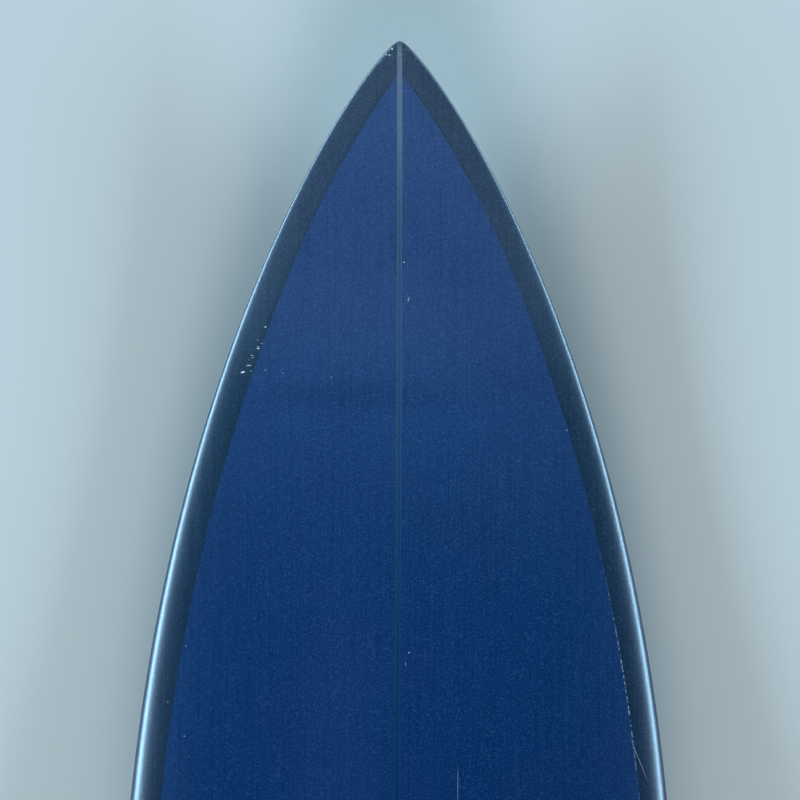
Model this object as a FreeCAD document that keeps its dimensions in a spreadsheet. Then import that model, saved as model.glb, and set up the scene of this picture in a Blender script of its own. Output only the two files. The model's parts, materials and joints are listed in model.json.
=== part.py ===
import FreeCAD, Part
import Sketcher
import math
import os
from collections import namedtuple
from FreeCAD import Matrix, Placement, Rotation, Vector

# A surfboard, 6 ft 4 in long: a foam blank in two halves with a wooden stringer glued between
# them, a bottom laminate that wraps round the rails, a deck laminate inlaid inside its lap, three
# fins in slotted boxes with their grub screws, and a leash plug. Lengths are in millimetres.
#
# The board's datum: X across, with +X on the left of a rider who faces the nose, Y along, with the
# nose at -Y, and Z up out of the deck, with Z = 0 at the low point of the rocker. A station is a
# distance from the nose tip. All pieces are made in this datum. The whole board is then laid down
# in its stance, on the tips of its side fins and on its belly, and that is the part's own frame.

SIZES = {
    # the blank's plan, foil and rocker
    "BoardLength": 1930, "BoardWidth": 508, "BoardThickness": 66.7,
    "WidePoint": 917, "RockerLow": 960, "NoseRocker": 127, "TailRocker": 61,
    "NoseTipThickness": 10, "TailTipThickness": 16, "Concave": 3,
    # laminates, stringer and lap lines
    "Laminate": 1, "BondLine": 0.1, "StringerThickness": 4.8, "GlueThickness": 0.4,
    "LapWidth": 27.5, "LapPinch": 2.5, "LapPinchStation": 150, "LapShift": 2.5, "LapKerf": 0.2,
    # fin boxes and the gap that a fin slides with
    "BoxLength": 136, "BoxWidth": 17, "BoxDepth": 15.4, "BoxEndRadius": 8,
    "BoxProud": 3, "BoxAft": 60, "SlideGap": 0.3,
    # fins
    "FinBase": 112, "FinDepth": 115, "FinThickness": 6.6, "FinRake": 22, "FinHollow": 8,
    "TabLength": 112, "TabWidth": 6.3, "TabDepth": 13,
    "SideFinBack": 280, "SideFinInset": 32, "CentreFinBack": 83, "SideCant": 5, "SideToe": 3,
    # grub screws
    "ScrewDiameter": 4.8, "ScrewLength": 9, "ScrewTip": 1.2, "KeyWidth": 2.5, "KeyDepth": 3.2,
    "ScrewLean": 40, "ScrewTipGap": 1.1, "ScrewTipHeight": 8.2,
    # leash plug
    "PlugDiameter": 30, "PlugDepth": 17, "CupDiameter": 24, "CupDepth": 14,
    "BarDiameter": 5, "BarLength": 27, "BarBelowDeck": 4.5, "PlugBack": 125, "PlugAcross": 30,
}

# How one end of the board tapers from its widest and thickest place: the taper is
# (1 - (1 - share) ** fullness) ** power, and tip_radius rounds the plan's very end.
Taper = namedtuple("Taper", "fullness power")
Fin = namedtuple("Fin", "faces cant side")
NOSE_PLAN, TAIL_PLAN = Taper(2.21, 0.841), Taper(2.2, 0.558)
NOSE_FOIL, TAIL_FOIL = Taper(1.9, 1.0), Taper(1.9, 0.85)
NOSE_ROCKER_POWER, TAIL_ROCKER_POWER = 2.65, 2.4
NOSE_TIP_RADIUS, TAIL_TIP_RADIUS = 2.7, 9.0
TIP_CLOSURE = 6.0              # the length in which a tip comes up to its thickness
TIP_COVER = 3.0                # laminate at a tip, in laminate thicknesses
DECK_CROWN = 2.4               # 2 is an ellipse, more is flatter with fuller rails
NOSE_TUCK, TAIL_TUCK = 3.5, 15.5    # the same for the bottom, harder towards the tail
NOSE_APEX, TAIL_APEX = 0.5, 0.28    # height of the rail's apex, as a share of the thickness

FIN_OUTLINE = Taper(1.2, 0.62)      # how a fin's chord shortens towards its tip
FIN_THINNING = 0.9             # how its thickness follows its chord
FOIL_PEAK = 1.5 * math.sqrt(3)      # brings the foil's thickest place to 1

LAP_PINCH_REACH = 90           # half the length over which the lap is narrower

BISECTIONS = 50
STANCE_STEPS = 200             # places tested for the lowest point of the belly and a fin
MOST_PITCH = 15                # degrees
FIN_POINTS = 17                # points along and down a fin's face
STATIONS = 41                  # sections along the board
SECTION_POINTS = 29            # points across one face of a section

doc = FreeCAD.newDocument("surfboard")
sheet = doc.addObject("Spreadsheet::Sheet", "Sizes")
for row, (alias, value) in enumerate(SIZES.items(), start=1):
    sheet.set(f"A{row}", alias)
    sheet.set(f"B{row}", str(value))
    sheet.setAlias(f"B{row}", alias)
doc.recompute()

pieces = []


def size(alias):
    return float(getattr(sheet, alias))


# ---------------------------------------------------------------- surfaces through points

def spaced(count, low=0.0, high=1.0):
    return [low + (high - low) * i / (count - 1) for i in range(count)]


def spline_through(points):
    curve = Part.BSplineCurve()
    curve.interpolate(Points=points, Parameters=spaced(len(points)))
    return curve


def skin(rows):
    """A spline face through rows of points. A row whose points are all one is a closed tip."""
    full = [row for row in rows if row[0].distanceToPoint(row[len(row) // 2]) > 1e-6]
    across = spline_through(full[0])
    count = across.NbPoles
    poles = [spline_through(row).getPoles() if row in full else [row[0]] * count for row in rows]
    rails = [spline_through(list(column)) for column in zip(*poles)]
    along = rails[0]
    surface = Part.BSplineSurface()
    surface.buildFromPolesMultsKnots(
        [rail.getPoles() for rail in rails],
        across.getMultiplicities(), along.getMultiplicities(),
        across.getKnots(), along.getKnots(), False, False, 3, 3)
    return surface.toShape()


def closed_solid(faces):
    shell = Part.makeShell(faces)
    shell.sewShape()
    solid = Part.makeSolid(shell)
    if solid.Volume < 0:
        solid.reverse()
    return solid


# ---------------------------------------------------------------- the board's shape

def taper(share, shape):
    return (1 - (1 - share) ** shape.fullness) ** shape.power


class Hull:
    """The outside of the board, or a surface inside it by the depth of inset."""

    def __init__(self, inset=0.0):
        self.inset = inset
        self.first = TIP_COVER * inset
        self.last = size("BoardLength") - TIP_COVER * inset

    def end(self, station):
        """Which end a station belongs to, its distance from that end and its share of the end."""
        if station < size("WidePoint"):
            back = station - self.first
            return "nose", back, back / (size("WidePoint") - self.first)
        back = self.last - station
        return "tail", back, back / (self.last - size("WidePoint"))

    def half_width(self, station):
        end, back, share = self.end(station)
        plan, radius = {"nose": (NOSE_PLAN, NOSE_TIP_RADIUS), "tail": (TAIL_PLAN, TAIL_TIP_RADIUS)}[end]
        widest = size("BoardWidth") / 2 - self.inset
        return math.hypot(widest * taper(share, plan), (1 - share) * math.sqrt(2 * radius * back))

    def thickness(self, station, closed=True):
        """Thickness on the centreline; closed brings it to nothing at the very tips."""
        end, back, share = self.end(station)
        foil, tip = {"nose": (NOSE_FOIL, "NoseTipThickness"), "tail": (TAIL_FOIL, "TailTipThickness")}[end]
        fullest = size("BoardThickness") - 2 * self.inset
        blunt = (size(tip) - 2 * self.inset) * (1 - share)
        if closed:
            blunt *= math.sqrt(1 - math.exp(-back / TIP_CLOSURE))
        return math.hypot(fullest * taper(share, foil), blunt)

    def apex_share(self, station):
        return NOSE_APEX + (TAIL_APEX - NOSE_APEX) * station / size("BoardLength")

    def apex_height(self, station):
        """Height of the rail's apex, which the outside and the surfaces inside it share."""
        low = size("RockerLow")
        if station < low:
            rocker = size("NoseRocker") * (1 - station / low) ** NOSE_ROCKER_POWER
        else:
            rise = (station - low) / (size("BoardLength") - low)
            rocker = size("TailRocker") * rise ** TAIL_ROCKER_POWER
        return rocker + self.apex_share(station) * OUTSIDE.thickness(station, closed=False)

    def point(self, station, across, deck):
        """A point of the deck or the bottom; across goes from -1 at one rail to 1 at the other."""
        along = station / size("BoardLength")
        if deck:
            roundness = DECK_CROWN
            height = (1 - self.apex_share(station)) * self.thickness(station)
        else:
            roundness = NOSE_TUCK + (TAIL_TUCK - NOSE_TUCK) * along ** 1.5
            height = -self.apex_share(station) * self.thickness(station)
        z = self.apex_height(station) + height * math.sqrt(1 - min(abs(across), 1) ** roundness)
        if not deck:
            z += size("Concave") * math.sin(math.pi * along) ** 4 * (1 - across ** 2) ** 2
        return Vector(across * self.half_width(station), station - size("BoardLength") / 2, z)

    def face(self, deck):
        rows = []
        for turn in spaced(STATIONS, 0, math.pi):
            station = self.first + (self.last - self.first) * (1 - math.cos(turn)) / 2
            rows.append([self.point(station, math.sin(lean), deck)
                         for lean in spaced(SECTION_POINTS, -math.pi / 2, math.pi / 2)])
        return skin(rows)

    def solid(self):
        return closed_solid([self.face(deck=True), self.face(deck=False)])

    def frame_at(self, station, x, deck, toe=0.0):
        """Where a fitting sits: origin on the surface, Z out of the board's deck side, Y aft."""
        step = 1.0
        here = self.point(station, x / self.half_width(station), deck)
        aft = self.point(station + step, x / self.half_width(station + step), deck) - here
        left = self.point(station, (x + step) / self.half_width(station), deck) - here
        up = left.cross(aft).normalize()
        if up.z < 0:
            up = -up
        aft.normalize()
        side = aft.cross(up)
        frame = Matrix(side.x, aft.x, up.x, here.x, side.y, aft.y, up.y, here.y,
                       side.z, aft.z, up.z, here.z, 0, 0, 0, 1)
        return Placement(frame) * Placement(Vector(), Rotation(Vector(0, 0, 1), toe))


OUTSIDE = Hull()
LAMINATE_INSIDE = Hull(size("Laminate"))
CORE = Hull(size("Laminate") + size("BondLine"))


# ---------------------------------------------------------------- document helpers

def bound(kind, name, frame=Placement(), **expressions):
    """An object of the document with its sizes bound to the sheet."""
    item = doc.addObject(kind, name)
    for prop, expression in expressions.items():
        item.setExpression(prop, expression)
    item.Placement = frame
    return item


def shaped(name, shape):
    """An object whose shape is made here, because it is a surface through worked-out points."""
    item = doc.addObject("Part::Feature", name)
    item.Shape = shape
    return item


def combined(kind, name, base, tool):
    item = doc.addObject(kind, name)
    item.Base, item.Tool = base, tool
    return item


def less(name, base, *tools):
    """Base with each tool cut out of it. A lone tool is cut directly, several are fused first."""
    tool = tools[0]
    if len(tools) > 1:
        tool = doc.addObject("Part::MultiFuse", name + "_cutter")
        tool.Shapes = list(tools)
    return combined("Part::Cut", name, base, tool)


def within(name, base, tool):
    return combined("Part::Common", name, base, tool)


def mirrored(name, source):
    """The same shape on the other side of the board's centreline."""
    item = doc.addObject("Part::Mirroring", name)
    item.Source = source
    item.Normal = Vector(1, 0, 0)
    return item


def finished(item, label):
    item.Label = label
    pieces.append(item)
    return item


def plane(body, role):
    return next(item for item in body.Origin.OriginFeatures if item.Role == role)


def profile(body, name, corners):
    """A closed sketch on the body's XZ plane. Each corner is a pair of sizes bound to the sheet,
    and 0 puts it on an axis."""
    drawing = body.newObject("Sketcher::SketchObject", name)
    drawing.AttachmentSupport = [(plane(body, "XZ_Plane"), "")]
    drawing.MapMode = "FlatFace"
    doc.recompute()
    count = len(corners)
    places = [Vector(*(value_of(expression) for expression in corner)) for corner in corners]
    for i in range(count):
        drawing.addGeometry(Part.LineSegment(places[i], places[(i + 1) % count]), False)
    for i, corner in enumerate(corners):
        drawing.addConstraint(Sketcher.Constraint("Coincident", i - 1 if i else count - 1, 2, i, 1))
        for axis, kind, expression in ((-2, "DistanceX", corner[0]), (-1, "DistanceY", corner[1])):
            if expression == "0":
                drawing.addConstraint(Sketcher.Constraint("PointOnObject", i, 1, axis))
            else:
                index = drawing.addConstraint(
                    Sketcher.Constraint(kind, -1, 1, i, 1, value_of(expression)))
                drawing.setExpression(f"Constraints[{index}]", expression)
    return drawing


def value_of(expression):
    """The number that an expression on the sheet stands for."""
    if expression == "0":
        return 0.0
    return float(sheet.evalExpression(expression))


def turned(body, name, drawing):
    lathe = body.newObject("PartDesign::Revolution", name)
    lathe.Profile = drawing
    lathe.ReferenceAxis = (drawing, ["V_Axis"])
    lathe.Angle = 360
    return lathe


# ---------------------------------------------------------------- fin boxes, screws and fins

def box_block(name, frame):
    """The outside of a fin box, standing a little proud of the bottom before it is trimmed."""
    block = bound("Part::Box", name + "_block",
                  frame * Placement(Vector(-size("BoxWidth") / 2, size("BoxAft") - size("BoxLength"),
                                           -size("BoxProud")), Rotation()),
                  Length="Sizes.BoxWidth", Width="Sizes.BoxLength",
                  Height="Sizes.BoxDepth + Sizes.BoxProud")
    doc.recompute()
    upright = [i for i, edge in enumerate(block.Shape.Edges, start=1)
               if abs(edge.Length - size("BoxDepth") - size("BoxProud")) < 1e-6]
    rounded = doc.addObject("Part::Fillet", name + "_rounded")
    rounded.Base = block
    rounded.Edges = [(i, size("BoxEndRadius"), size("BoxEndRadius")) for i in upright]
    return rounded


def screw_frame(frame):
    """Where a grub screw sits in its box: origin at its key end, Z along it and out of the board."""
    lean = math.radians(size("ScrewLean"))
    out = Vector(0, -math.cos(lean), -math.sin(lean))
    tip = Vector(0, -size("TabLength") / 2 - size("ScrewTipGap"), size("ScrewTipHeight"))
    return frame * Placement(tip + out * size("ScrewLength"), Rotation(Vector(0, 0, 1), out))


def fin_box(side, frame, rounded, outside):
    slot = bound("Part::Box", f"slot_{side}",
                 frame * Placement(Vector(-size("TabWidth") / 2 - size("SlideGap"),
                                          -size("TabLength") / 2 - size("SlideGap"),
                                          -2 * size("BoxProud")), Rotation()),
                 Length="Sizes.TabWidth + 2 * Sizes.SlideGap",
                 Width="Sizes.TabLength + 2 * Sizes.SlideGap",
                 Height="Sizes.TabDepth + Sizes.SlideGap + 2 * Sizes.BoxProud")
    below = Placement(Vector(0, 0, -size("ScrewLength") - size("ScrewTip")), Rotation())
    hole = bound("Part::Cylinder", f"screw_hole_{side}", screw_frame(frame) * below,
                 Radius="Sizes.ScrewDiameter / 2 + Sizes.SlideGap", Height="3 * Sizes.ScrewLength")
    opened = less(f"opened_box_{side}", rounded, slot, hole)
    finished(within(f"trimmed_box_{side}", opened, outside), f"fin_box_{side}")


def grub_screw(side, frame):
    body = doc.addObject("PartDesign::Body", f"screw_body_{side}")
    radius, tip = "Sizes.ScrewDiameter / 2", "Sizes.ScrewDiameter / 2 - Sizes.ScrewTip"
    outline = profile(body, f"screw_outline_{side}", [
        ("0", "0"), (radius, "0"), (radius, "Sizes.ScrewTip - Sizes.ScrewLength"),
        (tip, "-Sizes.ScrewLength"), ("0", "-Sizes.ScrewLength")])
    turned(body, f"screw_turned_{side}", outline)
    body.Placement = screw_frame(frame)
    socket = bound("Part::Prism", f"key_socket_{side}",
                   body.Placement * Placement(Vector(0, 0, -size("KeyDepth")), Rotation()),
                   Circumradius="Sizes.KeyWidth / sqrt(3)", Height="2 * Sizes.KeyDepth")
    finished(less(f"keyed_screw_{side}", body, socket), f"grub_screw_{side}")


def fin_point(kind, down, back, face):
    """A point of a fin's blade: down is its share of the depth, back its share of the chord, and
    face how much of the foil's thickness lies outboard there. The blade is centred on its tab."""
    depth = down * size("FinDepth")
    narrowing = (1 - down ** FIN_OUTLINE.fullness) ** FIN_OUTLINE.power
    trailing = (size("FinBase") / 2 + size("FinRake") * down ** 3
                - size("FinHollow") * math.sin(math.pi * down))
    leading = trailing - size("FinBase") * narrowing
    foil = FOIL_PEAK * math.sqrt(back) * (1 - back) * narrowing ** FIN_THINNING
    outboard = (face * foil - sum(kind.faces) / 2) * size("FinThickness")
    return Vector(kind.side * (outboard + depth * math.tan(math.radians(kind.cant))),
                  leading + back * size("FinBase") * narrowing, -size("SlideGap") - depth)


def fin_blade(kind):
    skins, edges = [], []
    for face in kind.faces:
        rows = [[fin_point(kind, math.sin(lean), root ** 2, face) for root in spaced(FIN_POINTS)]
                for lean in spaced(FIN_POINTS, 0, math.pi / 2)]
        skins.append(skin(rows))
        edges.append(spline_through(rows[0]).toShape())
    return closed_solid(skins + [Part.Face(Part.Wire(edges))])


def fin(name, frame, kind):
    blade = shaped(f"blade_{name}", fin_blade(kind))
    blade.Placement = frame
    tab = bound("Part::Box", f"tab_{name}",
                frame * Placement(Vector(-size("TabWidth") / 2, -size("TabLength") / 2,
                                         -size("SlideGap")), Rotation()),
                Length="Sizes.TabWidth", Width="Sizes.TabLength",
                Height="Sizes.TabDepth + Sizes.SlideGap")
    whole = doc.addObject("Part::MultiFuse", f"fused_fin_{name}")
    whole.Shapes = [blade, tab]
    finished(whole, f"fin_{name}")


# ---------------------------------------------------------------- leash plug

def leash_plug(frame):
    body = doc.addObject("PartDesign::Body", "plug_body")
    outer, cup = "Sizes.PlugDiameter / 2", "Sizes.CupDiameter / 2"
    outline = profile(body, "plug_outline", [
        ("0", "-Sizes.PlugDepth"), (outer, "-Sizes.PlugDepth"), (outer, "0"), (cup, "0"),
        (cup, "-Sizes.CupDepth"), ("0", "-Sizes.CupDepth")])
    turned(body, "plug_turned", outline)
    body.Placement = frame
    across = frame * Placement(Vector(-size("BarLength") / 2, 0, -size("BarBelowDeck")),
                               Rotation(Vector(0, 1, 0), 90))
    sizes = {"Radius": "Sizes.BarDiameter / 2", "Height": "Sizes.BarLength"}
    finished(bound("Part::Cylinder", "bar", across, **sizes), "leash_bar")
    finished(less("bored_plug", body, bound("Part::Cylinder", "bar_hole", across, **sizes)),
             "leash_plug")


# ---------------------------------------------------------------- lap line

def turning_point(test, low, high):
    """The value between low and high where test turns from false to true."""
    for _ in range(BISECTIONS):
        middle = (low + high) / 2
        low, high = (low, middle) if test(middle) else (middle, high)
    return (low + high) / 2


def lap_at(station):
    pinch = (station - size("LapPinchStation")) / LAP_PINCH_REACH
    return size("LapWidth") - size("LapPinch") * math.exp(-pinch ** 2)


def lap_solid(kerf):
    """A tall prism over the deck, inside the lap line that a knife cut, by the width of kerf."""
    def reach(station):
        return OUTSIDE.half_width(station) - lap_at(station) - kerf

    first = turning_point(lambda station: reach(station) > 0, 1, size("WidePoint"))
    last = turning_point(lambda station: reach(station) < 0, size("WidePoint"),
                         size("BoardLength") - 1)
    sides = []
    for side in (1, -1):
        points = []
        for turn in spaced(STATIONS, 0, math.pi):
            station = first + (last - first) * (1 - math.cos(turn)) / 2
            points.append(Vector(side * max(reach(station), 0) - size("LapShift") * math.sin(turn),
                                 station - size("BoardLength") / 2, -size("BoardThickness")))
        points[0].x = points[-1].x = 0
        sides.append(spline_through(points).toShape())
    outline = Part.Face(Part.Wire(sides))
    return outline.extrude(Vector(0, 0, 2 * size("NoseRocker") + size("BoardThickness")))


# ---------------------------------------------------------------- the board

outside = shaped("board_outside", OUTSIDE.solid())
laminate_inside = shaped("laminate_inside", LAMINATE_INSIDE.solid())
core = shaped("core", CORE.solid())

plug_frame = OUTSIDE.frame_at(size("BoardLength") - size("PlugBack"), size("PlugAcross"), deck=True)
plug_hole = bound("Part::Cylinder", "plug_hole",
                  plug_frame * Placement(Vector(0, 0, -size("PlugDepth")), Rotation()),
                  Radius="Sizes.PlugDiameter / 2", Height="2 * Sizes.PlugDepth")

side_station = size("BoardLength") - size("SideFinBack") - size("FinBase") / 2
side_across = (OUTSIDE.half_width(size("BoardLength") - size("SideFinBack")) - size("SideFinInset")
               - size("FinBase") / 2 * math.sin(math.radians(size("SideToe"))))
centre_station = size("BoardLength") - size("CentreFinBack") - size("FinBase") / 2
fin_frames = {
    "left": OUTSIDE.frame_at(side_station, side_across, False, toe=-size("SideToe")),
    "right": OUTSIDE.frame_at(side_station, -side_across, False, toe=size("SideToe")),
    "centre": OUTSIDE.frame_at(centre_station, 0, False),
}
# a side fin is flat inside and leans out by its cant, and the centre fin is foiled on both faces
fin_kinds = {
    "left": Fin(faces=(1, 0), cant=size("SideCant"), side=1),
    "right": Fin(faces=(1, 0), cant=size("SideCant"), side=-1),
    "centre": Fin(faces=(0.5, -0.5), cant=0, side=1),
}
box_holes = {name: box_block(f"box_{name}", frame) for name, frame in fin_frames.items()}
doc.recompute()

for name, frame in fin_frames.items():
    fin_box(name, frame, box_holes[name], outside)
    grub_screw(name, frame)
    fin(name, frame, fin_kinds[name])
leash_plug(plug_frame)


def slab(name, low, thickness):
    """A slice of the whole board between two upright planes, from X = low."""
    return bound("Part::Box", name,
                 Placement(Vector(low, -size("BoardLength"), -size("BoardThickness")), Rotation()),
                 Length=thickness, Width="2 * Sizes.BoardLength", Height="2 * Sizes.NoseRocker")


half = size("StringerThickness") / 2
glue = size("GlueThickness")
board_half = "Sizes.BoardWidth / 2"
stringer = within("stringer_whole", core, slab("stringer_slab", -half, "Sizes.StringerThickness"))
finished(less("stringer_routed", stringer, box_holes["centre"]), "stringer")
left_glue = within("glue_left_whole", core, slab("glue_slab", half, "Sizes.GlueThickness"))
for side, line in (("left", left_glue), ("right", mirrored("glue_right_whole", left_glue))):
    finished(less(f"glue_{side}_routed", line, box_holes["centre"]), f"glue_line_{side}")
for side, low, holes in (
        ("left", half + glue, (box_holes["left"], box_holes["centre"], plug_hole)),
        ("right", -half - glue - size("BoardWidth") / 2, (box_holes["right"], box_holes["centre"]))):
    blank = within(f"blank_{side}_whole", core, slab(f"blank_slab_{side}", low, board_half))
    finished(less(f"blank_{side}_routed", blank, *holes), f"blank_{side}")

laminate = less("laminate", outside, laminate_inside)
doc.recompute()


def deck_skin(name, kerf=0.0):
    """The part of the laminates that lies on the deck inside the lap line."""
    skins = laminate.Shape.common(lap_solid(kerf)).Solids
    return shaped(name, max(skins, key=lambda skin: skin.CenterOfMass.z))


inlay = deck_skin("inlay_whole", size("LapKerf"))
finished(less("inlay_drilled", inlay, plug_hole), "deck_inlay")
finished(less("wrap_drilled", laminate, deck_skin("lap_opening"), *box_holes.values()), "bottom_wrap")
doc.recompute()


# ---------------------------------------------------------------- the stance

def lowest(points, pitch):
    """The lowest height that points along the board reach once its nose is tipped down."""
    lean = math.radians(pitch)
    return min(point.z * math.cos(lean) + point.y * math.sin(lean) for point in points)


belly_points = [OUTSIDE.point(station, across, False)
                for station in spaced(STANCE_STEPS, 1, size("WidePoint"))
                for across in spaced(SECTION_POINTS, 0, 1)]
fin_points = [fin_frames["left"] * fin_point(fin_kinds["left"], down, back, face)
              for down in spaced(STANCE_STEPS)
              for back in spaced(FIN_POINTS)
              for face in (0, 1)]
pitch = turning_point(
    lambda angle: lowest(belly_points, angle) < lowest(fin_points, angle), 0, MOST_PITCH)
tipped = Placement(Vector(), Rotation(Vector(1, 0, 0), pitch))
level = [tipped * OUTSIDE.point(station, 0, True) for station in (0, size("BoardLength"))]
stance = Placement(Vector(0, -(level[0].y + level[1].y) / 2, -lowest(belly_points, pitch)),
                   Rotation()) * tipped
for piece in pieces:
    piece.Placement = stance * piece.Placement
doc.recompute()

# ---------------------------------------------------------------- checks and files

for item in doc.Objects:
    if {"Invalid", "Error"} & set(item.State):
        raise RuntimeError(f"{item.Label} failed: {item.State}")
os.makedirs("parts", exist_ok=True)
for piece in pieces:
    shape = piece.Shape
    if shape.isNull() or not shape.isValid() or shape.Volume <= 0:
        raise RuntimeError(f"{piece.Label} has no valid solid")
    shape.exportStep(f"parts/{piece.Label}.step")
    print(f"{piece.Label}: {len(shape.Solids)} solid, {shape.Volume / 1000:.1f} cm3")
print(f"stance: pitch {pitch:.3f} degrees, moved {stance.Base}")
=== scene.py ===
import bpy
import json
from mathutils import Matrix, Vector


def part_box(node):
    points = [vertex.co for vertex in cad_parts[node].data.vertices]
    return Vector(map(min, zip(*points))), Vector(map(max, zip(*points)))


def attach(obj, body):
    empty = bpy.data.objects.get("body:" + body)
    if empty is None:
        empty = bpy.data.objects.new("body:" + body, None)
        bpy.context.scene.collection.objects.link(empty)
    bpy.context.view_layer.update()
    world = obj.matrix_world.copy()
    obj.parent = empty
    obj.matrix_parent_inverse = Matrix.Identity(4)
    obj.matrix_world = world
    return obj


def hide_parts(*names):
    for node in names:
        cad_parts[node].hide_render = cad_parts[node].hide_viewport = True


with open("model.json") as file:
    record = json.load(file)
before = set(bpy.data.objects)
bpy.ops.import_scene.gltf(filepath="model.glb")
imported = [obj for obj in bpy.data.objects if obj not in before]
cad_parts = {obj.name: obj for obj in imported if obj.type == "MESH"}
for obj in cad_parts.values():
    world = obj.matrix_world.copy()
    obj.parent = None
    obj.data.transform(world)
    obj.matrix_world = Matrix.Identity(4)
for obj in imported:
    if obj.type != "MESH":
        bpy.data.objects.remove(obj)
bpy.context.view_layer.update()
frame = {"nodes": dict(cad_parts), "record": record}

import json
import math
from collections import namedtuple

import bmesh
import bpy
from mathutils import Matrix, Vector

# A shortboard in blue resin tint, lying on its fins and its belly. Lengths are in metres.
#
# The board's own coordinates are across, with + on the left of a rider who faces the nose; station,
# the distance from the nose tip; and height, out of the deck. Its two laminates are laid over it
# here by the same rules that its blank was shaped by. LAID_DOWN takes these coordinates to the
# floor's.

# ---------------------------------------------------------------- sizes

Board = namedtuple("Board", "length half_width thickness wide_point rocker_low nose_rocker tail_rocker")
BOARD = Board(length=1.930, half_width=0.254, thickness=0.0667, wide_point=0.917,
              rocker_low=0.960, nose_rocker=0.127, tail_rocker=0.061)

# How each end tapers from the widest and the thickest place: fullness and power.
NOSE_PLAN, TAIL_PLAN = (2.21, 0.841), (2.2, 0.558)
NOSE_FOIL, TAIL_FOIL = (1.9, 1.0), (1.9, 0.85)
NOSE_ROCKER_POWER, TAIL_ROCKER_POWER = 2.65, 2.4
NOSE_TIP_RADIUS, TAIL_TIP_RADIUS = 0.0027, 0.009
NOSE_TIP_THICKNESS, TAIL_TIP_THICKNESS = 0.010, 0.016
TIP_CLOSURE = 0.006            # the length in which a tip comes up to its thickness
CONCAVE = 0.003                # the depth of the hollow along the middle of the bottom
# The power of the section's curve: 2 is an ellipse, and more is flatter with fuller rails.
DECK_CROWN, NOSE_TUCK, TAIL_TUCK = 2.4, 3.5, 15.5
NOSE_APEX, TAIL_APEX = 0.5, 0.28        # the rail apex's height, as a share of the thickness

# The band of bottom laminate on the deck narrows by the pinch near one station, and both of its
# cut lines drift to the right by the shift at most.
LAP_WIDTH, LAP_PINCH, LAP_PINCH_STATION, LAP_PINCH_REACH = 0.0275, 0.0025, 0.150, 0.090
LAP_SHIFT = 0.0025

STRINGER_HALF, GLUE_WIDTH = 0.0021, 0.0007      # half of the whole strip, and each of its glue lines
STRIP_EDGE = 0.0006                             # how far its edges blur under the resin
DECK_THREAD, FIN_THREAD = 0.0014, 0.0017        # from thread to thread of the glass cloth

SKIN_THICKNESS = 0.0005
CUTTER_REACH = 0.004            # how far a hole's cutter stands past its fitting, each way
MERGE = 0.00002                 # points closer than this become one
SHARP_EDGE = math.radians(40)


# ---------------------------------------------------------------- node arithmetic

class Link:
    """An output of a node. Arithmetic on it adds Math nodes, and node() adds any other node."""

    def __init__(self, tree, socket=None):
        self.tree = tree
        self.socket = socket

    def node(self, kind, inputs=(), output=0, stops=(), **settings):
        """Add a node. Its settings come first, then its inputs, each a value or another Link."""
        made = self.tree.nodes.new(kind)
        for name, value in settings.items():
            setattr(made, name, value)
        for index, (position, colour) in enumerate(stops):
            ramp = made.color_ramp.elements
            stop = ramp[index] if index < 2 else ramp.new(position)
            stop.position, stop.color = position, colour
        for name, value in dict(inputs).items():
            if isinstance(value, Link):
                self.tree.links.new(value.socket, made.inputs[name])
            else:
                made.inputs[name].default_value = value
        return Link(self.tree, made.outputs[output])

    def outputs(self):
        return [Link(self.tree, socket) for socket in self.socket.node.outputs]

    def math(self, operation, *values):
        return self.node("ShaderNodeMath", dict(enumerate(values)), operation=operation)

    def __add__(self, other):
        return self.math("ADD", self, other)

    def __sub__(self, other):
        return self.math("SUBTRACT", self, other)

    def __rsub__(self, other):
        return self.math("SUBTRACT", other, self)

    def __mul__(self, other):
        return self.math("MULTIPLY", self, other)

    def __truediv__(self, other):
        return self.math("DIVIDE", self, other)

    def __pow__(self, other):
        return self.math("POWER", self, other)

    def __neg__(self):
        return self.math("MULTIPLY", self, -1)

    def __abs__(self):
        return self.math("ABSOLUTE", self)

    __radd__ = __add__
    __rmul__ = __mul__


def worked(operation, function, *values):
    """A function of numbers, or the Math node of the same meaning if one of them is a Link."""
    for value in values:
        if isinstance(value, Link):
            return value.math(operation, *values)
    return function(*values)


def sine(angle):
    return worked("SINE", math.sin, angle)


def arcsine(value):
    return worked("ARCSINE", math.asin, value)


def decay(value):
    """1 at zero, and less and less as the value grows."""
    return worked("EXPONENT", math.exp, -value)


def least(a, b):
    return worked("MINIMUM", min, a, b)


def most(a, b):
    return worked("MAXIMUM", max, a, b)


def bounded(value):
    return most(least(value, 1), 0)


# ---------------------------------------------------------------- the board's rules
# Each takes numbers, or Links in a node tree, and gives the same kind back.

def taper(share, fullness, power):
    return (1 - (1 - share) ** fullness) ** power


def ends(board, station):
    """How far a station lies from each tip, and what share of the way that is to the wide point."""
    back = board.length - station
    nose = bounded(station / board.wide_point)
    tail = bounded(back / (board.length - board.wide_point))
    return (station, nose), (back, tail)


def half_width(board, station):
    (nose_back, nose), (tail_back, tail) = ends(board, station)
    plan = board.half_width * taper(nose, *NOSE_PLAN) * taper(tail, *TAIL_PLAN)
    tips = ((1 - nose) * (2 * NOSE_TIP_RADIUS * most(nose_back, 0)) ** 0.5
            + (1 - tail) * (2 * TAIL_TIP_RADIUS * most(tail_back, 0)) ** 0.5)
    return (plan * plan + tips * tips) ** 0.5


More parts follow.
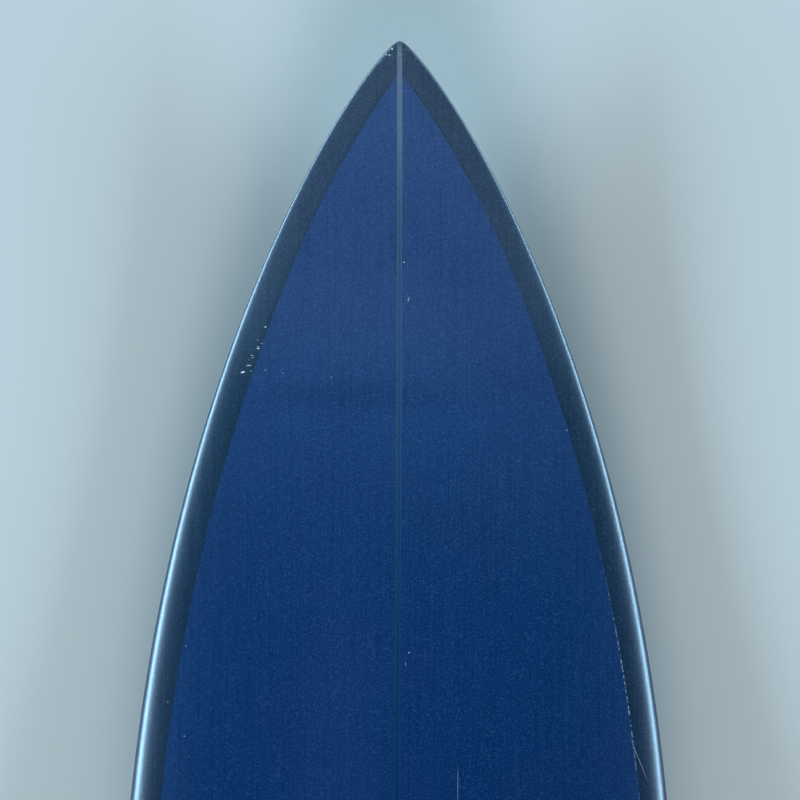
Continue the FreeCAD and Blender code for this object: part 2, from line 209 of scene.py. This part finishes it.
def thickness(board, station, closed=True):
    """Thickness on the centreline; closed brings it to nothing at the very tips."""
    foil, blunt = board.thickness, 0
    for (back, share), shape, tip in zip(ends(board, station), (NOSE_FOIL, TAIL_FOIL),
                                         (NOSE_TIP_THICKNESS, TAIL_TIP_THICKNESS)):
        closing = (1 - decay(most(back, 0) / TIP_CLOSURE)) ** 0.5 if closed else 1
        foil = foil * taper(share, *shape)
        blunt = blunt + (1 - share) * tip * closing
    return (foil * foil + blunt * blunt) ** 0.5


def apex_share(board, station):
    return NOSE_APEX + (TAIL_APEX - NOSE_APEX) * station / board.length


def apex_height(board, station):
    low = board.rocker_low
    rocker = (board.nose_rocker * bounded(1 - station / low) ** NOSE_ROCKER_POWER
              + board.tail_rocker * bounded((station - low) / (board.length - low)) ** TAIL_ROCKER_POWER)
    return rocker + apex_share(board, station) * thickness(board, station, closed=False)


def section_place(board, station, lean, deck):
    """Across and height of a point of the deck (deck 1) or the bottom (0). Its lean is the angle whose
    sine is its share of the half width."""
    share = sine(lean)
    tuck = NOSE_TUCK + (TAIL_TUCK - NOSE_TUCK) * bounded(station / board.length) ** 1.5
    roundness = tuck + (DECK_CROWN - tuck) * deck
    low_share = apex_share(board, station)
    rise = (deck - low_share) * thickness(board, station)
    hollow = (CONCAVE * sine(math.pi * station / board.length) ** 4 * (1 - share * share) ** 2
              * (1 - deck))
    height = (apex_height(board, station) + rise * most(1 - abs(share) ** roundness, 0) ** 0.5
              + hollow)
    return share * half_width(board, station), height


def lap_width(station):
    pinch = (station - LAP_PINCH_STATION) / LAP_PINCH_REACH
    return LAP_WIDTH - LAP_PINCH * decay(pinch * pinch)


def turning_point(test, low, high):
    """The value between low and high where test turns from false to true."""
    for _ in range(50):
        middle = (low + high) / 2
        low, high = (low, middle) if test(middle) else (middle, high)
    return low


def lap_reach(station):
    return half_width(BOARD, station) - lap_width(station)


LAP_FIRST = turning_point(lambda station: lap_reach(station) > 0, 0.001, BOARD.wide_point)
LAP_LAST = turning_point(lambda station: lap_reach(station) < 0, BOARD.wide_point, BOARD.length)


def lap_line(board, station, side):
    """How far across the knife's cut runs, on the left (side 1) or the right (-1)."""
    way = bounded((station - LAP_FIRST) / (LAP_LAST - LAP_FIRST))
    reach = most(half_width(board, station) - lap_width(station), 0)
    return side * reach - 2 * LAP_SHIFT * (way * (1 - way)) ** 0.5


# ---------------------------------------------------------------- where the board lies

def mount(name):
    return next(item for item in frame["record"]["mounts"] if item["name"] == name)


def board_point(station, across, deck):
    """A point of the board's surface in its own coordinates."""
    lean = math.asin(across / half_width(BOARD, station))
    across, height = section_place(BOARD, station, lean, deck)
    return Vector((across, station, height))


belly = mount("rack_rest")
PITCH = math.atan2(belly["axis"][1], -belly["axis"][2])
LAID_DOWN = (Matrix.Translation(belly["pos_m"]) @ Matrix.Rotation(PITCH, 4, "X")
             @ Matrix.Translation(-board_point(BOARD.rocker_low, 0, 0)))
NOSE_DATUM = LAID_DOWN.translation      # where the zero of the board's coordinates comes to lie


# ---------------------------------------------------------------- colours

def shade(red, green, blue):
    """A colour from its usual 0 to 255 values, made linear."""
    def linear(value):
        value /= 255
        return value / 12.92 if value <= 0.04045 else ((value + 0.055) / 1.055) ** 2.4
    return (linear(red), linear(green), linear(blue), 1)


BLACK = (0, 0, 0, 1)


# ---------------------------------------------------------------- pattern helpers

def blend(factor, first, second):
    """A colour between two others. The factor is a Link, and each colour a value or a Link."""
    return factor.node("ShaderNodeMix", {0: factor, 6: first, 7: second}, output=2, data_type="RGBA")


def board_place(start):
    """The board's coordinates at a point of a surface, as one vector and as three numbers."""
    where = start.node("ShaderNodeTexCoord", output="Object")
    place = start.node("ShaderNodeMapping", {"Vector": where, "Location": NOSE_DATUM,
                                             "Rotation": (PITCH, 0, 0)}, vector_type="TEXTURE")
    return place, *start.node("ShaderNodeSeparateXYZ", {0: place}).outputs()


def stretched(place, across, along, through):
    return place.node("ShaderNodeVectorMath", {0: place, 1: (across, along, through)},
                      operation="MULTIPLY")


def noise(place, scale, detail=2.0, roughness=0.5):
    """Noise from 0 to 1. The scale is in waves per metre."""
    return place.node("ShaderNodeTexNoise", {"Vector": place, "Scale": scale, "Detail": detail,
                                             "Roughness": roughness})


def inside(distance, reach, softness):
    """1 where a distance is less than reach and 0 beyond, over a soft edge."""
    return bounded((reach - distance) / softness + 0.5)


def hump(value, centre, spread):
    """1 at the centre, and smoothly down to nothing on both sides."""
    way = (value - centre) / spread
    return decay(way * way)


def speckle(place, cell, radius, share):
    """Small round specks: one in some of the cells of a scattered grid."""
    dots = place.node("ShaderNodeTexVoronoi", {"Vector": place, "Scale": 1 / cell})
    distance, colour = dots.outputs()[:2]
    pick = place.node("ShaderNodeSeparateColor", {0: colour})
    return inside(distance, radius / cell, 0.5 * radius / cell) * inside(pick, share, 0.01)


def stroke(across, station, centre, size, turn=0.0):
    """A soft oval mark on the board: its centre, its half length and half width, and its turn from
    straight across."""
    side, along = across - centre[0], station - centre[1]
    c, s = math.cos(turn), math.sin(turn)
    long_way = (side * c + along * s) / size[0]
    short_way = (along * c - side * s) / size[1]
    return bounded(1.5 - (long_way * long_way + short_way * short_way) * 1.5)


def finish(name, constants, pattern):
    """A material. Constants go on its shader's own sockets. The pattern is given a Link to start
    from, and gives what varies: colour, roughness and height, in metres."""
    material = bpy.data.materials.new(name)
    material.use_nodes = True
    tree = material.node_tree
    shader = tree.nodes["Principled BSDF"]
    for socket, value in constants.items():
        shader.inputs[socket].default_value = value
    start = Link(tree)
    colour, roughness, height = pattern(start)
    relief = start.node("ShaderNodeBump", {"Strength": 1.0, "Distance": 1.0, "Height": height})
    for socket, link in (("Base Color", colour), ("Roughness", roughness), ("Normal", relief)):
        tree.links.new(link.socket, shader.inputs[socket])
    return material


# ---------------------------------------------------------------- the tinted laminates

# The colours from the nose to the tail, at shares of the board's length. Their lighter, greyer colours
# near the nose are partly the resin's own tone and partly painted sheen, the light reflected off the nose
# where it rises.
DECK_TINT_AND_SHEEN = [(0.00, shade(64, 86, 124)), (0.05, shade(60, 83, 124)), (0.12, shade(56, 82, 124)),
             (0.166, shade(38, 75, 120)), (0.212, shade(22, 64, 109)), (0.26, shade(5, 59, 106)),
             (0.35, shade(0, 54, 102)), (1.00, shade(0, 52, 98))]
LAP_TINT_AND_SHEEN = [(0.00, shade(64, 76, 92)), (0.07, shade(67, 79, 96)), (0.12, shade(60, 78, 96)),
            (0.166, shade(34, 57, 76)), (0.212, shade(22, 50, 72)), (0.26, shade(9, 40, 65)),
            (0.34, shade(0, 30, 56)), (1.00, shade(0, 28, 52))]
WOOD_TINT_AND_SHEEN = [(0.00, shade(112, 119, 132)), (0.04, shade(104, 115, 134)), (0.073, shade(77, 94, 117)),
             (0.125, shade(60, 84, 113)), (0.166, shade(48, 76, 105)), (0.22, shade(26, 69, 102)),
             (0.26, shade(18, 65, 99)), (0.34, shade(0, 54, 90)), (1.00, shade(0, 52, 86))]
GLUE_TINT_AND_SHEEN = [(0.00, shade(116, 124, 136)), (0.04, shade(114, 125, 142)), (0.073, shade(88, 104, 131)),
             (0.125, shade(82, 103, 130)), (0.166, shade(69, 94, 127)), (0.22, shade(37, 78, 113)),
             (0.26, shade(28, 74, 110)), (0.34, shade(12, 64, 104)), (1.00, shade(10, 60, 100))]
SCUFFED = shade(250, 242, 230)


def along_board(start, station, stops):
    return start.node("ShaderNodeValToRGB", {0: station / BOARD.length}, stops=stops)


def over_stringer(start, across, station, colour, grain):
    """A laminate's colour with the stringer and its two glue lines showing through it."""
    off = abs(across)
    # The wood and glue colours grow lighter towards the nose, partly by painted sheen.
    wood = blend(grain, along_board(start, station, WOOD_TINT_AND_SHEEN), BLACK)
    shown = blend(inside(off, STRINGER_HALF, STRIP_EDGE), colour, along_board(start, station, GLUE_TINT_AND_SHEEN))
    return blend(inside(off, STRINGER_HALF - GLUE_WIDTH, STRIP_EDGE), shown, wood)


def laminate_texture(place, across, station):
    """What both laminates have: streaks drawn along the board, mottle and the weave of the cloth."""
    streaks = noise(stretched(place, 640, 9, 9), 1.0, 3.0, 0.6)
    mottle = noise(place, 600, 1.5, 0.6)
    thread = 2 * math.pi / DECK_THREAD
    weave = sine(across * thread) * sine(station * thread)
    return streaks, mottle, weave


# Small knocks on the deck side: across and station, half length and half width, turn and strength.
TIP_CHIPS = [((0.0065, 0.007), (0.0011, 0.0006), -0.8, 1.0), ((0.009, 0.012), (0.0010, 0.0005), -0.5, 0.9),
             ((0.0115, 0.0115), (0.0007, 0.0005), 0.0, 0.7)]
SCUFFS = [((0.1185, 0.245), (0.0012, 0.0006), 0.0, 0.8), ((0.1255, 0.2565), (0.0009, 0.0005), 0.0, 0.4),
          ((0.122, 0.2595), (0.0012, 0.0004), 0.1, 0.4), ((0.125, 0.2625), (0.0015, 0.0004), 0.0, 0.6),
          ((0.125, 0.264), (0.0017, 0.0006), -0.1, 0.9), ((0.1305, 0.270), (0.0013, 0.0004), 0.0, 0.5),
          ((0.130, 0.272), (0.0012, 0.0004), 0.0, 0.5), ((0.1335, 0.274), (0.0010, 0.0003), 0.3, 0.3),
          ((0.1335, 0.279), (0.0030, 0.0005), 0.1, 0.6), ((0.139, 0.285), (0.0021, 0.0009), 0.25, 1.0),
          ((0.1315, 0.284), (0.0009, 0.0005), 0.0, 0.35), ((0.1185, 0.283), (0.0007, 0.0008), 0.0, 0.35),
          ((0.103, 0.2855), (0.0010, 0.0005), 0.0, 0.3)]
SPECKS = [((-0.004, 0.188), (0.0008, 0.0006), 0.3, 0.6), ((-0.008, 0.2205), (0.0005, 0.0026), -0.3, 0.45),
          ((-0.010, 0.533), (0.0008, 0.0008), 0.0, 0.6), ((-0.007, 0.543), (0.0004, 0.0022), 0.0, 0.35),
          ((0.060, 0.289), (0.0006, 0.0006), 0.0, 0.4), ((-0.1485, 0.3345), (0.0005, 0.0009), 0.0, 0.5),
          ((0.1915, 0.6115), (0.0006, 0.0006), 0.0, 0.4), ((0.207, 0.5815), (0.0006, 0.0006), 0.0, 0.4),
          ((0.1905, 0.5305), (0.0006, 0.0006), 0.0, 0.4)]
HAIRLINES = [((-0.054, 0.650), (0.0180, 0.0003), math.pi / 2, 0.3),
             ((-0.2155, 0.628), (0.0240, 0.0003), 1.96, 0.3)]


def knocked(across, station, marks):
    """The marks with every knock added to them."""
    for centre, size, turn, strength in TIP_CHIPS + SCUFFS + SPECKS + HAIRLINES:
        marks = most(marks, stroke(across, station, centre, size, turn) * strength)
    return marks


def grained(tint, streaks, mottle, weave):
    """A tint with its streaks, its mottle and the light threads of its cloth."""
    tint = blend(bounded(1.55 - streaks * 3) * 0.22, tint, BLACK)
    tint = blend(bounded(2.3 - mottle * 4) * 0.24, tint, BLACK)
    light = bounded(mottle * 9 - 5.0) * 0.10 + bounded(streaks * 3 - 1.6) * 0.03 + bounded(weave) * 0.006
    return blend(light, tint, shade(120, 148, 178))


def glossed(tint, marks, streaks, mottle, weave):
    """A laminate's colour, roughness and height, with its marks dull, pale and sunk."""
    colour = blend(marks, tint, SCUFFED)
    roughness = 0.27 + streaks * 0.08 + marks * 0.3
    height = streaks * 0.00003 + mottle * 0.000008 + weave * 0.000002 - marks * 0.0001
    return colour, roughness, height


def deck_pattern(start):
    place, across, station, _ = board_place(start)
    streaks, mottle, weave = laminate_texture(place, across, station)
    clouds = noise(place, 9, 3.0, 0.55)
    # The deck's colour along the board: lighter near the nose, partly by painted sheen.
    tint = along_board(start, station, DECK_TINT_AND_SHEEN)
    tint = blend(bounded(clouds * 3 - 1.3) * 0.25, tint, shade(32, 46, 100))
    tint = blend(bounded(1.2 - clouds * 3) * 0.3, tint, shade(0, 50, 100))
    # A paler band just left of the stringer, growing in from 0.3 m aft of the nose: painted sheen, soft
    # light reflected off the satin deck.
    pale = hump(across, 0.050, 0.050) * bounded((station - 0.30) / 0.25)
    tint = blend(pale * 0.45, tint, shade(32, 66, 118))
    dark = hump(station, 0.305, 0.014) * hump(across, 0.04, 0.09)
    tint = blend(dark * 0.3, tint, shade(8, 40, 88))
    tint = grained(tint, streaks, mottle, weave)
    tint = over_stringer(start, across, station, tint, bounded(streaks * 2 - 0.8) * 0.3)

    marks = knocked(across, station, speckle(place, cell=0.055, radius=0.0005, share=0.3))
    ridge = inside(abs(across - lap_line(BOARD, station, -1) - 0.0006), 0.0004, 0.0004)
    broken = bounded(noise(stretched(place, 1, 260, 1), 1.0, 1.0) * 6 - 2.6)
    marks = most(marks, ridge * broken * hump(station, 0.565, 0.075) * 0.45)
    return glossed(tint, marks, streaks, mottle, weave)


def wrap_pattern(start):
    place, across, station, _ = board_place(start)
    streaks, mottle, weave = laminate_texture(place, across, station)
    clouds = noise(place, 11, 3.0, 0.55)
    # The lap band's colour along the board: lighter near the nose, partly by painted sheen.
    tint = along_board(start, station, LAP_TINT_AND_SHEEN)
    tint = blend(bounded(clouds * 2.2 - 0.8) * 0.3, tint, shade(24, 64, 94))
    tint = grained(tint, streaks, mottle, weave)
    off_lap = half_width(BOARD, station) - abs(across)
    seam = hump(off_lap, LAP_WIDTH - 0.001, 0.0035) * bounded((station - LAP_FIRST) / 0.02)
    tint = blend(seam * 0.28, tint, shade(10, 46, 62))
    tint = over_stringer(start, across, station, tint, bounded(streaks * 2 - 0.8) * 0.3)

    marks = speckle(place, cell=0.045, radius=0.0005, share=0.3)
    tip = inside(station, 0.016, 0.012)
    marks = most(marks, tip * bounded(noise(place, 700, 2.0, 0.8) * 9 - 5.6) * 0.55)
    marks = knocked(across, station, marks)
    return glossed(tint, marks, streaks, mottle, weave)


# ---------------------------------------------------------------- the other finishes

def foam_pattern(start):
    place = board_place(start)[0]
    cells = place.node("ShaderNodeTexVoronoi", {"Vector": place, "Scale": 900.0})
    cloud = noise(place, 30)
    colour = blend(cells * 0.35, shade(238, 238, 228), shade(214, 214, 202))
    return blend(cloud * 0.2, colour, shade(226, 220, 200)), 0.85 + cloud * 0.1, cells * 0.0001


def wood_pattern(start):
    place = board_place(start)[0]
    rings = noise(stretched(place, 60, 4, 700), 1.0, 3.0, 0.6)
    fibres = noise(stretched(place, 1200, 30, 1200), 1.0)
    colour = blend(bounded(rings * 2 - 0.5), shade(196, 164, 118), shade(142, 106, 68))
    return blend(fibres * 0.3, colour, shade(220, 196, 156)), 0.6 + fibres * 0.2, fibres * 0.00005


def glue_pattern(start):
    place = board_place(start)[0]
    flow = noise(place, 120)
    return blend(flow, shade(205, 214, 206), shade(182, 196, 190)), 0.25 + flow * 0.15, flow * 0.00002


def moulded_pattern(start):
    """Moulded plastic with a fine spark-eroded grain."""
    place = board_place(start)[0]
    grain = noise(place, 2600, 2.0, 0.6)
    flow = noise(place, 60)
    colour = blend(flow, shade(30, 33, 38), shade(40, 44, 50))
    colour = blend(bounded(grain * 3 - 1.5) * 0.3, colour, shade(66, 70, 78))
    return colour, 0.42 + grain * 0.16, grain * 0.00003


def fin_pattern(start):
    """Clear-coated glass cloth in a navy tint."""
    place, _, station, height = board_place(start)
    thread = 2 * math.pi / FIN_THREAD
    weave = sine((station + height) * thread) * sine((station - height) * thread)
    depth = noise(place, 45, 3.0)
    colour = blend(depth, shade(8, 28, 58), shade(14, 42, 78))
    colour = blend(bounded(weave + 0.2) * 0.25, colour, shade(36, 72, 110))
    return colour, 0.16 + depth * 0.08, weave * 0.000004


def steel_pattern(start):
    place = board_place(start)[0]
    turned = noise(stretched(place, 300, 6000, 6000), 1.0, 2.0)
    stain = noise(place, 240)
    colour = blend(turned, shade(176, 178, 180), shade(206, 208, 210))
    return blend(stain * 0.25, colour, shade(150, 150, 148)), 0.24 + turned * 0.18, turned * 0.000006


LAMINATE = {"IOR": 1.56, "Coat Weight": 0.35, "Coat Roughness": 0.26}
deck_tint = finish("deck_resin_tint", LAMINATE, deck_pattern)
bottom_tint = finish("bottom_resin_tint", LAMINATE, wrap_pattern)
foam = finish("blank_foam", {"Specular IOR Level": 0.2}, foam_pattern)
stringer_wood = finish("stringer_basswood", {"Specular IOR Level": 0.3}, wood_pattern)
glue = finish("stringer_glue", {}, glue_pattern)
box_plastic = finish("moulded_box_plastic", {}, moulded_pattern)
fin_composite = finish("fin_glass_cloth", {"Coat Weight": 0.8, "Coat Roughness": 0.06}, fin_pattern)
stainless = finish("turned_stainless", {"Metallic": 1.0}, steel_pattern)


# ---------------------------------------------------------------- skins over the hull

# Rows run across the board. They are even steps of a half turn, so they crowd towards its tips.
ROWS = 341
ROW_TURN = math.pi / (ROWS - 1)
DECK_COLUMNS, WRAP_COLUMNS = 49, 101
BAND_SHARE = 0.24               # of the wrap's columns, on each lap band
SIZE_INPUTS = ["Length", "Half width", "Thickness", "Wide point", "Rocker low", "Nose rocker",
               "Tail rocker"]


def row_at(station):
    """The row that crosses the board at a station, as a number that need not be whole."""
    return math.acos(1 - 2 * station / BOARD.length) / ROW_TURN


def inlay_section(board, station, across):
    """The deck between the two lap lines."""
    width = half_width(board, station)
    right, left = (arcsine(lap_line(board, station, side) / width) for side in (-1, 1))
    return right + (left - right) * across, 1


def wrap_section(board, station, across):
    """From the left lap line round the rail, under the bottom and up to the right lap line."""
    width = half_width(board, station)
    right, left = (arcsine(lap_line(board, station, side) / width) for side in (-1, 1))
    out = bounded(across / BAND_SHARE)
    under = bounded((across - BAND_SHARE) / (1 - 2 * BAND_SHARE))
    back = bounded((across - 1 + BAND_SHARE) / BAND_SHARE)
    lean = left + (math.pi / 2 - left) * out - math.pi * under + (right + math.pi / 2) * back
    on_bottom = under.math("COMPARE", under, 0.5, 0.49999)      # 1 between the two rail apexes
    return lean, 1 - on_bottom


def skin_tree(name, section):
    """A geometry tree that lays a sheet of rows and columns over the board's surface."""
    tree = bpy.data.node_groups.new(name, "GeometryNodeTree")
    tree.interface.new_socket("Geometry", in_out="INPUT", socket_type="NodeSocketGeometry")
    for label in SIZE_INPUTS + ["First turn", "Last turn"]:
        tree.interface.new_socket(label, in_out="INPUT", socket_type="NodeSocketFloat")
    for label in ("Rows", "Columns"):
        tree.interface.new_socket(label, in_out="INPUT", socket_type="NodeSocketInt")
    tree.interface.new_socket("Finish", in_out="INPUT", socket_type="NodeSocketMaterial")
    tree.interface.new_socket("Geometry", in_out="OUTPUT", socket_type="NodeSocketGeometry")

    start = Link(tree)
    given = dict(zip([item.name for item in tree.interface.items_tree if item.in_out == "INPUT"],
                     start.node("NodeGroupInput").outputs()))
    board = Board(*(given[label] for label in SIZE_INPUTS))
    grid = start.node("GeometryNodeMeshGrid", {"Size X": 1.0, "Size Y": 1.0,
                                               "Vertices X": given["Columns"],
                                               "Vertices Y": given["Rows"]}, output="Mesh")
    position = start.node("GeometryNodeInputPosition")
    across, along, _ = start.node("ShaderNodeSeparateXYZ", {0: position}).outputs()
    first, last = given["First turn"], given["Last turn"]
    turn = first + (last - first) * (along + 0.5)
    station = board.length * (1 - turn.math("COSINE", turn)) * 0.5
    lean, deck = section(board, station, across + 0.5)
    side, height = section_place(board, station, lean, deck)
    place = start.node("ShaderNodeCombineXYZ", {0: side, 1: station, 2: height})
    laid = start.node("GeometryNodeSetPosition", {"Geometry": grid, "Position": place})
    merged = start.node("GeometryNodeMergeByDistance", {"Geometry": laid, "Distance": MERGE})
    smooth = start.node("GeometryNodeSetShadeSmooth", {0: merged})
    whole = start.node("GeometryNodeRealizeInstances", {0: smooth})
    done = start.node("GeometryNodeSetMaterial", {"Geometry": whole, "Material": given["Finish"]})
    tree.links.new(done.socket, tree.nodes.new("NodeGroupOutput").inputs[0])
    return tree


def grown(name, tree, **inputs):
    """The plain mesh that a geometry tree makes with these inputs."""
    seed = bpy.data.objects.new(name, bpy.data.meshes.new(name + "_seed"))
    bpy.context.scene.collection.objects.link(seed)
    modifier = seed.modifiers.new("grow", "NODES")
    modifier.node_group = tree
    for item in tree.interface.items_tree:
        key = item.name.replace(" ", "_").lower()
        if item.in_out == "INPUT" and key in inputs:
            modifier[item.identifier] = inputs[key]
    return settled(seed)


def settled(piece):
    """The piece with its modifiers turned into its mesh."""
    graph = bpy.context.evaluated_depsgraph_get()
    mesh = bpy.data.meshes.new_from_object(piece.evaluated_get(graph), depsgraph=graph)
    piece.modifiers.clear()
    piece.data = mesh
    return piece


def swept_hull(name, node, away):
    """A closed block round a CAD piece, swept both ways along a direction, to cut its hole with."""
    mesh = bpy.data.meshes.new(name)
    block = bmesh.new()
    for vertex in frame["nodes"][node].data.vertices:
        for way in (-CUTTER_REACH, CUTTER_REACH):
            block.verts.new(vertex.co + way * away)
    hull = bmesh.ops.convex_hull(block, input=block.verts)
    spare = [item for item in hull["geom_interior"] if isinstance(item, bmesh.types.BMVert)]
    bmesh.ops.delete(block, geom=spare, context="VERTS")
    bmesh.ops.recalc_face_normals(block, faces=block.faces)
    block.to_mesh(mesh)
    block.free()
    cutter = bpy.data.objects.new(name, mesh)
    bpy.context.scene.collection.objects.link(cutter)
    return cutter


def routed(piece, cutters):
    """The piece given its thickness, with a hole cut for each fitting."""
    wall = piece.modifiers.new("wall", "SOLIDIFY")
    wall.thickness, wall.offset = SKIN_THICKNESS, -1
    for cutter in cutters:
        hole = piece.modifiers.new("hole", "BOOLEAN")
        hole.operation, hole.object, hole.solver = "DIFFERENCE", cutter, "EXACT"
    settled(piece)
    piece.data.set_sharp_from_angle(angle=SHARP_EDGE)
    return piece


def skin(name, section, material, first, last, columns, cutters):
    """A laminate of the board, between two rows of the ROWS that both laminates share."""
    sizes = dict(zip((label.replace(" ", "_").lower() for label in SIZE_INPUTS), BOARD))
    sheet = grown(name, skin_tree(name + "_rule", section), rows=last - first + 1, columns=columns,
                  first_turn=first * ROW_TURN, last_turn=last * ROW_TURN, finish=material, **sizes)
    sheet.data.transform(LAID_DOWN)
    return routed(sheet, cutters)


def out_of_deck(low, high, step=0.001):
    """The direction straight out of the deck over the middle of a box."""
    place = LAID_DOWN.inverted() @ ((low + high) / 2)
    here = board_point(place.y, place.x, 1)
    aft = board_point(place.y + step, place.x, 1) - here
    left = board_point(place.y, place.x + step, 1) - here
    return (LAID_DOWN.to_3x3() @ left.cross(aft)).normalized()


plug_cutter = swept_hull("plug_hole", "leash_plug", out_of_deck(*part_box("leash_plug")))
box_cutters = [swept_hull(f"box_hole_{side}", f"fin_box_{side}", Vector(mount(f"fin_slot_{side}")["axis"]))
               for side in ("left", "right", "centre")]

deck = skin("deck_laminate", inlay_section, deck_tint, math.floor(row_at(LAP_FIRST)),
            math.ceil(row_at(LAP_LAST)), DECK_COLUMNS, [plug_cutter])
wrap = skin("bottom_laminate", wrap_section, bottom_tint, 0, ROWS - 1, WRAP_COLUMNS, box_cutters)
for cutter in [plug_cutter, *box_cutters]:
    bpy.data.objects.remove(cutter)

for piece, node, slot in ((deck, "deck_inlay", "deck_tint"), (wrap, "bottom_wrap", "bottom_tint")):
    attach(piece, "board")
    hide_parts(node)

FINISHES = {"foam": foam, "stringer_wood": stringer_wood, "glue": glue, "box_plastic": box_plastic,
            "fin_composite": fin_composite, "stainless": stainless}
for node in frame["nodes"].values():
    for holder in node.material_slots:
        if holder.material.name in FINISHES:
            holder.material = FINISHES[holder.material.name]


# ---------------------------------------------------------------- studio

FLOOR_HALF_SIDE, FLOOR_DROP = 6, 0.0002         # the drop keeps the floor just clear of the board
STRIP_PLACE, STRIP_TARGET = (8.2, -0.3, 2.0), (0, -0.3, 0.09)
STRIP_SIZE, STRIP_POWER, STRIP_COLOUR = (15.0, 1.65), 530, (0.42, 0.74, 1.0)
STRIP_SHARES = {1: 1.0, -1: 0.76}               # of the power, on the left and on the right
TAIL_PLACE, TAIL_TARGET = (0, 14.0, 3.8), (0, 0, 0.1)
TAIL_SIZE, TAIL_POWER, TAIL_COLOUR = (9.4, 4.8), 520, (0.75, 0.88, 1.0)
LIGHT_SPREAD = math.radians(80)


def floor_pattern(start):
    where = start.node("ShaderNodeTexCoord", output="Object")
    cloud = noise(where, 2.5, 3.0)
    colour = blend(cloud * 0.35, shade(240, 227, 214), shade(233, 220, 207))
    return colour, 0.85 + cloud * 0.1, cloud * 0.0005


def studio_floor():
    mesh = bpy.data.meshes.new("floor")
    corners = [(x * FLOOR_HALF_SIDE, y * FLOOR_HALF_SIDE, -FLOOR_DROP)
               for x, y in ((-1, -1), (1, -1), (1, 1), (-1, 1))]
    mesh.from_pydata(corners, [], [(0, 1, 2, 3)])
    mesh.materials.append(finish("studio_floor", {"Specular IOR Level": 0.1}, floor_pattern))
    floor = bpy.data.objects.new("floor", mesh)
    bpy.context.scene.collection.objects.link(floor)


def soft_box(name, place, target, size, power, colour, shines=True):
    """A soft box that looks from place to target. One that doesn't shine shows in no gloss."""
    lamp = bpy.data.lights.new(name, "AREA")
    lamp.shape, lamp.size, lamp.size_y = "RECTANGLE", *size
    lamp.energy, lamp.color, lamp.spread = power, colour, LIGHT_SPREAD
    box = bpy.data.objects.new(name, lamp)
    box.location = place
    box.rotation_mode = "QUATERNION"
    box.rotation_quaternion = (Vector(target) - Vector(place)).to_track_quat("-Z", "Y")
    box.visible_camera, box.visible_glossy = False, shines
    bpy.context.scene.collection.objects.link(box)


def studio_world():
    """Pale walls round the floor and a dim ceiling."""
    world = bpy.data.worlds.new("studio")
    world.use_nodes = True
    start = Link(world.node_tree)
    where = start.node("ShaderNodeTexCoord", output="Generated")
    height = start.node("ShaderNodeSeparateXYZ", {0: where}).outputs()[2]
    walls = start.node("ShaderNodeValToRGB", {0: height},
                       stops=[(0.0, (0.40, 0.46, 0.54, 1)), (0.30, (0.32, 0.38, 0.46, 1)),
                              (0.62, (0.03, 0.04, 0.055, 1)), (1.0, (0.004, 0.006, 0.010, 1))])
    world.node_tree.links.new(walls.socket, world.node_tree.nodes["Background"].inputs["Color"])
    bpy.context.scene.world = world


studio_floor()
studio_world()
for side, share in STRIP_SHARES.items():
    out, along, up = STRIP_PLACE
    soft_box(f"rail_strip_{side}", (out * side, along, up), STRIP_TARGET, STRIP_SIZE, STRIP_POWER * share,
             STRIP_COLOUR)
soft_box("tail_box", TAIL_PLACE, TAIL_TARGET, TAIL_SIZE, TAIL_POWER, TAIL_COLOUR, shines=False)


# ---------------------------------------------------------------- camera

LENS, CLIP_END = 101.3, 100
CAMERA_PLACE = (-0.060, 0.3087, 2.0667)         # across, station and height
CAMERA_LEAN, CAMERA_ROLL = -0.0298, 0.0067

camera_data = bpy.data.cameras.new("camera")
camera_data.lens, camera_data.clip_end = LENS, CLIP_END
camera = bpy.data.objects.new("camera", camera_data)
bpy.context.scene.collection.objects.link(camera)
camera.matrix_world = (LAID_DOWN @ Matrix.Translation(CAMERA_PLACE) @ Matrix.Rotation(CAMERA_LEAN, 4, "Y")
                       @ Matrix.Rotation(math.pi + CAMERA_ROLL, 4, "Z"))
bpy.context.scene.camera = camera
bpy.context.scene.view_settings.view_transform = "Standard"
